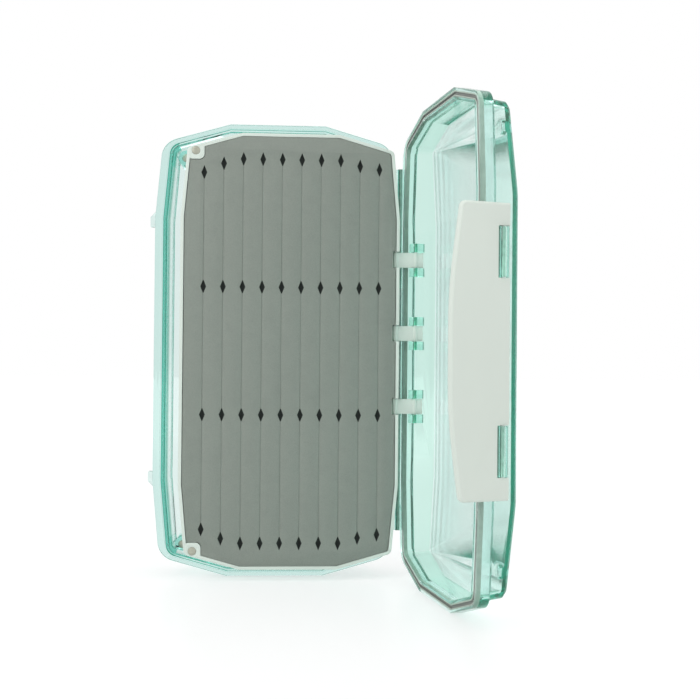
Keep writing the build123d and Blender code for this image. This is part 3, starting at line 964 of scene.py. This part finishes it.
@dataclass
class Seal:
    """The soft ring in the lid's rim: one profile swept along the outline."""

    outline: Outline
    inset: Inset = (2.08, 0.98)
    width: float = 2.34
    height: float = 1.68
    channel_width: float = 1.0
    channel_depth: float = 0.8
    channel_margin: float = 0.04
    lip: float = 0.22
    lip_roundness: float = 0.3
    hard_angle: float = 50.0

    @staticmethod
    def seat() -> Seat:
        """The lid's rim plane.

        Returns:
            The plane, with its middle on the box's middle line.
        """
        lid_range = next(
            joint["range_deg"] for joint in frame["joints"] if joint["name"] == "lid_hinge")
        angle = math.radians(-lid_range[0])
        across = Vector((-math.cos(angle), -math.sin(angle), 0.0))
        out = Vector((-math.sin(angle), math.cos(angle), 0.0))
        points = [vertex.co / MM for vertex in frame["nodes"]["gasket"].data.vertices]
        place = middle(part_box("gasket"))
        place -= out * (out.dot(place) - max(out.dot(point) for point in points))
        return Seat(place, across, out)

    @staticmethod
    def _distance(point: Vector, start: Vector, end: Vector) -> float:
        """How far a point is from one run of the seal's middle line, seen from above.

        Args:
            point: a place on the seal.
            start: the run's first point.
            end: the run's last point.

        Returns:
            The distance in millimetres.
        """
        flat, run = point.to_2d(), end - start
        share = (flat - start).dot(run) / max(run.length_squared, HAIR ** 2)
        return (start + run * min(max(share, 0.0), 1.0) - flat).length

    def profile(self) -> list[Vector]:
        """The seal's section: a flat back and two rounded lips beside the channel.

        Returns:
            Points across and up, from the middle of the top.
        """
        half, inner = self.width / 2, self.channel_width / 2
        bulge = self.lip * self.lip_roundness
        right = [
            Vector((inner, -self.channel_depth)),
            Vector((inner, -self.lip)), Vector((inner + bulge, -bulge)),
            Vector((inner + self.lip, 0.0)), Vector((half - self.lip, 0.0)),
            Vector((half - bulge, -bulge)), Vector((half, -self.lip)),
            Vector((half, -self.height)),
        ]
        return right + [Vector((-p.x, p.y)) for p in reversed(right)]

    def _mark_painted_channel_shade(self, mesh: bpy.types.Mesh, line: Sequence[Vector]) -> None:
        """Mark the faces of the channel between the lips, which get a painted shade.

        Args:
            mesh: the ring's mesh, still flat and in millimetres.
            line: the ring's middle line.
        """
        marks = mesh.attributes.new(CHANNEL_SHADE_MARK, "FLOAT", "FACE")
        reach = self.channel_width / 2 + self.channel_margin
        floor = -self.channel_depth - self.channel_margin
        runs = list(zip(line, [*line[1:], line[0]]))
        for face in mesh.polygons:
            away = min(self._distance(face.center, start, end) for start, end in runs)
            marks.data[face.index].value = float(away < reach and face.center.z > floor)

    def build(self) -> None:
        """Sweep the section, dress the ring and let it ride on the lid."""
        side, end = self.inset
        line = self.outline.ring((side + self.width / 2, end + self.width / 2))
        path = wire("seal_path", [line], closed=True)
        # the sweep hangs its section upside down
        section = wire("seal_section", [[Vector((p.x, -p.y)) for p in self.profile()]], closed=True)
        shaper = Shaper("swept_seal")
        shaper.take({"Section": section}, "NodeSocketObject")
        shaper.take({"Finish": SEAL.material()}, "NodeSocketMaterial")
        profile = shaper.node("GeometryNodeMeshToCurve", None, {"Mesh": shaper.shape_of("Section")})
        swept = shaper.swept(shaper["Geometry"], profile, caps=False)
        shaper.finish(shaper.coated(swept, "Finish"))
        ring = shaper.apply(path)
        ring.name = "seal_ring"
        self._mark_painted_channel_shade(ring.data, line)
        ring.data.transform(self.seat().matrix())
        mend_normals(ring.data)
        soften(ring.data, self.hard_angle)
        remove([section])
        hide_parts("gasket")
        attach(ring, "lid")
        LOG.info("seal swept with %d faces", len(ring.data.polygons))


class LeafFace(Enum):
    """The two faces of the swing leaf, with the node that lies in each."""

    FRONT = "leaf_foam_front"
    BACK = "leaf_foam_back"


@dataclass
class SwingLeaf:
    """The leaf that turns between the shells: a frame, two foams, magnets and three links."""

    outline: Outline
    inset: Inset = (7.65, 6.65)
    thickness: float = 1.9
    cutter_depth: float = 7.6
    slits: int = 10
    slit_margin: float = 9.1
    leaf_inset: float = 6.0
    slit_shift: float = 0.4
    slit_width: float = 0.34
    slit_depth: float = 0.3
    diamond_width: float = 2.3
    diamond_length: float = 5.6
    diamond_depth: float = 1.6
    row_inner: float = 26.3
    row_outer: float = 79.0
    row_steps: dict[int, float] = field(default_factory=lambda: {0: 5.8, 1: 2.0, 8: 2.2, 9: 3.5})
    tab_size: float = 7.5
    tab_corner: float = 2.3
    tab_corner_steps: int = 8
    tab_place: tuple[float, float] = (-39.2, 82.2)
    notch_reach: float = 1.25
    notch_width: float = 6.9
    foam_radius: float = 0.175
    foam_hard_angle: float = 40.0
    tray_radius: float = 0.3
    small_radius: float = 0.2

    def build(self) -> None:
        """Build the foams, round the frame and the links, and dress everything."""
        tray = rounded_copy("leaf_frame", "leaf_tray", Rounding(self.tray_radius))
        dress(tray, LEAF_PLASTIC)
        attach(tray, "leaf")
        for face in LeafFace:
            self._foam(face)
        for place in THREE_PLACES:
            link = rounded_copy(f"leaf_link_{place}", f"link_{place}", Rounding(self.small_radius))
            dress(link, LEAF_PLASTIC)
            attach(link, "links")
            dress(frame["nodes"][f"lid_link_pin_{place}"], STEEL)
        for place in TWO_PLACES:
            for body in ("leaf", "base"):
                disc = rounded_copy(
                    f"{body}_magnet_{place}", f"{body}_disc_{place}", Rounding(self.small_radius))
                dress(disc, MAGNET)
                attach(disc, body)
        dress(frame["nodes"]["leaf_pin"], STEEL)

    def _slit_columns(self) -> list[tuple[float, float]]:
        """Where the slits lie.

        Returns:
            Each slit's place across the foam and half its length.
        """
        half_width = self.outline.width / 2 - self.leaf_inset
        pitch = 2 * (half_width - self.slit_margin) / (self.slits - 1)
        halfway = (self.slits - 1) / 2
        return [(self.slit_shift + (index - halfway) * pitch,
                 self.row_outer - self.row_steps.get(index, 0.0)) for index in range(self.slits)]

    def _slab(self, name: str) -> bpy.types.Object:
        """The foam's plain sheet, below its own face.

        Args:
            name: the sheet's name.

        Returns:
            The sheet, in millimetres.
        """
        work = bmesh.new()
        ring = self.outline.ring(self.inset)
        top = work.faces.new([work.verts.new((p.x, p.y, 0.0)) for p in ring])
        lower = bmesh.ops.extrude_face_region(work, geom=[top])
        moved = [part for part in lower["geom"] if isinstance(part, bmesh.types.BMVert)]
        bmesh.ops.translate(work, verts=moved, vec=(0.0, 0.0, -self.thickness))
        bmesh.ops.recalc_face_normals(work, faces=work.faces)
        return new_piece(name, work)

    def _spots(self, front: bool) -> dict[str, bpy.types.Object]:
        """Where a foam is cut: slits and notches on both, diamonds and tabs on the front.

        Args:
            front: whether it is the front foam.

        Returns:
            A helper for each kind of cut, which the caller removes.
        """
        columns = self._slit_columns()
        edge = self.outline.width / 2 - self.inset[0]
        leaf_height = middle(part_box("leaf_frame")).z
        links = [middle(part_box(f"leaf_link_{place}")).z - leaf_height for place in THREE_PLACES]
        spots = {
            "Slits": wire("foam_slits", [[Vector((x, -y)), Vector((x, y))] for x, y in columns]),
            "Notches": wire("foam_notches", [[Vector((edge, height)) for height in links]]),
        }
        if front:
            rows = [Vector((x, y)) for x, end in columns
                    for y in (end, self.row_inner, -self.row_inner, -end)]
            tab_x, tab_y = self.tab_place
            tabs = [Vector((tab_x, tab_y)), Vector((tab_x, -tab_y))]
            spots |= {"Diamonds": wire("foam_diamonds", [rows]), "Tabs": wire("foam_tabs", [tabs])}
        return spots

    def _tab(self, shaper: Shaper) -> Value:
        """A tab's cutter: a square with rounded corners.

        Args:
            shaper: the foam's node group.

        Returns:
            The cutter, about its own middle.
        """
        square = shaper.node("GeometryNodeCurvePrimitiveQuadrilateral", {"mode": "RECTANGLE"}, {
            "Width": shaper["Tab size"], "Height": shaper["Tab size"]})
        rounded = shaper.node("GeometryNodeFilletCurve", {"mode": "POLY"}, {
            "Curve": square, "Radius": shaper["Tab corner"], "Count": self.tab_corner_steps})
        bottom = shaper.node("GeometryNodeFillCurve", {"mode": "NGONS"}, {"Curve": rounded})
        walls_and_top = shaper.node("GeometryNodeExtrudeMesh", {"mode": "FACES"}, {
            "Mesh": bottom, "Offset Scale": shaper["Cutter depth"], "Individual": False}, "Mesh")
        turned_bottom = shaper.node("GeometryNodeFlipFaces", None, {"Mesh": bottom})
        joined = shaper.node(
            "GeometryNodeJoinGeometry", None, {"Geometry": [walls_and_top, turned_bottom]})
        solid = shaper.node(
            "GeometryNodeMergeByDistance", None, {"Geometry": joined, "Distance": HAIR})
        return shaper.node("GeometryNodeTransform", None, {
            "Geometry": solid,
            "Translation": shaper.vector(0.0, 0.0, shaper["Cutter depth"] * -0.5)})

    @staticmethod
    def _wedges(shaper: Shaper) -> Value:
        """A thin wedge along every slit.

        Args:
            shaper: the foam's node group.

        Returns:
            The cutters in the foam's own skin.
        """
        circle = shaper.node("GeometryNodeCurvePrimitiveCircle", {"mode": "RADIUS"}, {
            "Resolution": 4, "Radius": 0.5}, "Curve")
        wedge = shaper.node("GeometryNodeTransform", None, {
            "Geometry": circle,
            "Scale": shaper.vector(shaper["Slit width"], shaper["Slit depth"] * 2.0, 1.0)})
        return shaper.coated(shaper.swept(shaper.shape_of("Slits"), wedge, caps=True), "Skin")

    def _cutters(self, shaper: Shaper, front: bool) -> list[Value]:
        """Everything that is cut out of a foam.

        Args:
            shaper: the foam's node group.
            front: whether it is the front foam.

        Returns:
            The cutters, in the order in which they cut.
        """
        cutters = []
        if front:
            prism = shaper.node("GeometryNodeMeshCylinder", None, {
                "Vertices": 4, "Radius": 0.5, "Depth": 2.0}, "Mesh")
            size = [shaper[f"Diamond {side}"] for side in ("width", "length", "depth")]
            diamond = shaper.node("GeometryNodeTransform", None, {
                "Geometry": prism, "Scale": shaper.vector(*size)})
            # the diamonds' walls get the cut finish, which is painted shade
            cutters = [shaper.repeated("Diamonds", diamond, "Cut"),
                       shaper.repeated("Tabs", self._tab(shaper), "Skin")]
        notch = shaper.node("GeometryNodeMeshCube", None, {"Size": shaper.vector(
            shaper["Notch depth"], shaper["Notch width"], shaper["Cutter depth"])}, "Mesh")
        return [*cutters, shaper.repeated("Notches", notch, "Skin"), self._wedges(shaper)]

    def _foam(self, face: LeafFace) -> None:
        """Cut one foam sheet and lay it in its side of the frame.

        Args:
            face: the side of the leaf.
        """
        front = face is LeafFace.FRONT
        spots = self._spots(front)
        shaper = Shaper(f"{face.value}_cuts")
        shaper.take(spots, "NodeSocketObject")
        shaper.take({
            "Diamond width": self.diamond_width,
            "Diamond length": self.diamond_length,
            "Diamond depth": self.diamond_depth,
            "Slit width": self.slit_width,
            "Slit depth": self.slit_depth,
            "Tab size": self.tab_size,
            "Tab corner": self.tab_corner,
            "Notch depth": 2 * self.notch_reach,
            "Notch width": self.notch_width,
            "Cutter depth": self.cutter_depth,
        })
        # the Cut finish paints shade on the holes' walls
        shaper.take({"Skin": FOAM.material(), "Cut": FOAM_HOLE_SHADE.material()}, "NodeSocketMaterial")
        sheet = shaper.coated(shaper["Geometry"], "Skin")
        for cutter in self._cutters(shaper, front):
            sheet = shaper.node(
                "GeometryNodeMeshBoolean", {"operation": "DIFFERENCE", "solver": "EXACT"},
                {"Mesh 1": sheet, "Mesh 2": cutter}, "Mesh")
        shaper.finish(sheet)
        foam = shaper.apply(self._slab(f"{face.value}_sheet"))
        remove(spots.values())

        low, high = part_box(face.value)
        place = middle(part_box("leaf_frame"))
        place.y = (low.y if front else high.y) / MM
        out = Vector((0.0, -1.0 if front else 1.0, 0.0))
        foam.data.transform(Seat(place, Vector((1.0, 0.0, 0.0)), out).matrix())
        mend_normals(foam.data)
        Rounding(self.foam_radius, angle=self.foam_hard_angle).round(foam)
        soften(foam.data, self.foam_hard_angle)
        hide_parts(face.value)
        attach(foam, "leaf")
        LOG.info("%s cut with %d faces", foam.name, len(foam.data.polygons))


@dataclass
class SideLatch:
    """The long latch, hung on two pins from the lid's lugs."""

    edge_radius: float = 0.45
    edge_segments: int = 3

    def build(self) -> None:
        """Round the latch's edges and dress it with its pins."""
        latch = rounded_copy("latch", "latch_plate", Rounding(self.edge_radius, self.edge_segments))
        dress(latch, LATCH_PLASTIC)
        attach(latch, "latch")
        for place in TWO_PLACES:
            dress(frame["nodes"][f"latch_pin_{place}"], STEEL)


# ---- studio
@dataclass(frozen=True)
class Lamp:
    """A soft square lamp that looks at a point, with its places and size in metres."""

    name: str
    place: Vector
    size: float
    power: float

    def build(self, target: Vector) -> None:
        """Add the lamp to the scene.

        Args:
            target: the point that it looks at.
        """
        light = bpy.data.lights.new(self.name, "AREA")
        light.shape = "SQUARE"
        light.size = self.size
        light.energy = self.power
        lamp = bpy.data.objects.new(self.name, light)
        lamp.location = self.place
        lamp.rotation_euler = (target - self.place).to_track_quat("-Z", "Y").to_euler()
        bpy.context.scene.collection.objects.link(lamp)


@dataclass
class Studio:
    """Floor, world, lamps and camera around the box; the floor's size is in metres."""

    floor_size: float = 12.0
    ambient: float = 0.60
    bounces: int = 32
    lamps: tuple[Lamp, ...] = (
        Lamp("key", Vector((-0.80, -0.65, 0.80)), 0.8, 5.6),
        Lamp("fill", Vector((0.8, -0.5, 0.5)), 0.9, 1.8),
        Lamp("top", Vector((0.0, 0.1, 1.1)), 0.9, 3.4),
    )
    lens: float = 57.03
    sensor: float = 36.0
    nearest: float = 10.0
    eye: tuple[float, float, float] = (1.508, -471.12, 89.51)
    turn: float = 3.616
    rise: float = 0.709
    roll: float = 0.497

    def build(self) -> None:
        """Build everything that isn't part of the box."""
        self._floor()
        self._world()
        for lamp in self.lamps:
            lamp.build(middle(cad_box) * MM)
        self._camera()
        cycles = bpy.context.scene.cycles
        cycles.max_bounces = cycles.transmission_bounces = cycles.glossy_bounces = self.bounces
        LOG.info("studio built")

    def _floor(self) -> None:
        """Lay the floor under the box."""
        work = bmesh.new()
        bmesh.ops.create_grid(work, x_segments=1, y_segments=1, size=self.floor_size / 2)
        floor = new_piece("floor", work)
        floor.data.materials.append(StudioFloor("studio_floor").material())

    def _world(self) -> None:
        """White where it is seen, and softer as a light."""
        world = bpy.data.worlds.new("studio")
        bpy.context.scene.world = world
        world.use_nodes = True
        tree = Tree(world.node_tree)
        light, white = [
            tree.node("ShaderNodeBackground", None, {"Color": WHITE, "Strength": strength})
            for strength in (self.ambient, 1.0)]
        both = tree.node("ShaderNodeMixShader", None, {0: tree.seen(), 1: light, 2: white})
        tree.node("ShaderNodeOutputWorld", None, {"Surface": both})

    def _camera(self) -> None:
        """Set the camera up."""
        data = bpy.data.cameras.new("camera")
        data.lens = self.lens
        data.sensor_width = self.sensor
        data.clip_start = self.nearest * MM
        camera = bpy.data.objects.new("camera", data)
        turn = Matrix.Rotation(-math.radians(self.turn), 3, "Z")
        rise = Matrix.Rotation(math.radians(90.0 + self.rise), 3, "X")
        roll = Matrix.Rotation(math.radians(self.roll), 3, "Z")
        eye = Vector(self.eye) * MM
        camera.matrix_world = Matrix.Translation(eye) @ (turn @ rise @ roll).to_4x4()
        bpy.context.scene.collection.objects.link(camera)
        bpy.context.scene.camera = camera
        bpy.context.scene.view_settings.view_transform = "Standard"


def main() -> None:
    """Build the box's parts in order, then the studio."""
    logging.basicConfig(level=logging.INFO, format="%(name)s: %(message)s")
    outline = Outline()
    ClearShells(outline).build()
    Seal(outline).build()
    SwingLeaf(outline).build()
    SideLatch().build()
    Studio().build()


if __name__ == "__main__":
    main()
